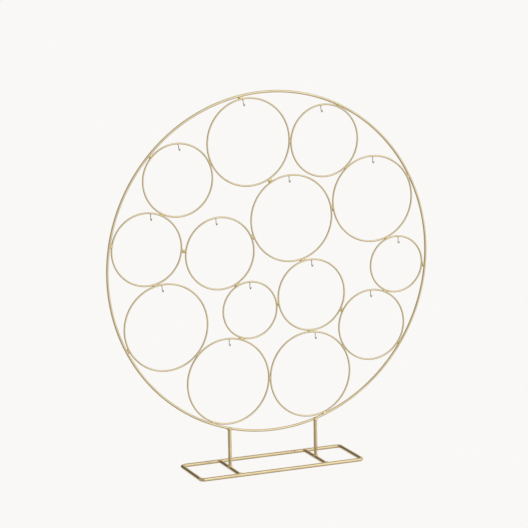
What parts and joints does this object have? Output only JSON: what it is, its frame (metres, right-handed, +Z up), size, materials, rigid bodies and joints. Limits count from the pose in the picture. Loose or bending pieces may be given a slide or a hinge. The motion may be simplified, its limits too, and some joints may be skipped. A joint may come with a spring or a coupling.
{
  "type": "wreath frame",
  "caption": "Upright wire hoop on a rectangular wire stand, filled with smaller wire rings that each carry a little hook, for wreaths and hanging decorations.",
  "frame": {"origin": "on the table plane, straight below the middle of the hoop", "axes": "+X along the stand, +Z up, +Y to the back; the hoop lies in the XZ plane and the hooks point to the front, along -Y"},
  "size_m": [0.4661, 0.082, 0.5136],
  "materials": {
    "gold_wire": "satin gold plating on round steel wire",
    "gold_rod": "satin gold plating on the thicker stand rods",
    "hook_wire": "dull darkened thin wire",
    "braze": "irregular brazing metal under the gold finish"
  },
  "bodies": {
    "root": {"outer_hoop": "gold_wire", "ring_01": "gold_wire", "ring_02": "gold_wire", "ring_03": "gold_wire", "ring_04": "gold_wire", "ring_05": "gold_wire", "ring_06": "gold_wire", "ring_07": "gold_wire", "ring_08": "gold_wire", "ring_09": "gold_wire", "ring_10": "gold_wire", "ring_11": "gold_wire", "ring_12": "gold_wire", "ring_13": "gold_wire", "ring_14": "gold_wire", "hook_01": "hook_wire", "hook_02": "hook_wire", "hook_03": "hook_wire", "hook_04": "hook_wire", "hook_05": "hook_wire", "hook_06": "hook_wire", "hook_07": "hook_wire", "hook_08": "hook_wire", "hook_09": "hook_wire", "hook_10": "hook_wire", "hook_11": "hook_wire", "hook_12": "hook_wire", "hook_13": "hook_wire", "hook_14": "hook_wire", "stand_loop": "gold_rod", "left_crossbar": "gold_rod", "right_crossbar": "gold_rod", "left_upright": "gold_rod", "right_upright": "gold_rod", "ring_braze_beads": "braze", "hoop_braze_beads": "braze", "hook_braze_beads": "braze", "crossbar_weld_beads": "braze", "upright_foot_weld_beads": "braze", "upright_top_weld_beads": "braze"}
  },
  "joints": []
}
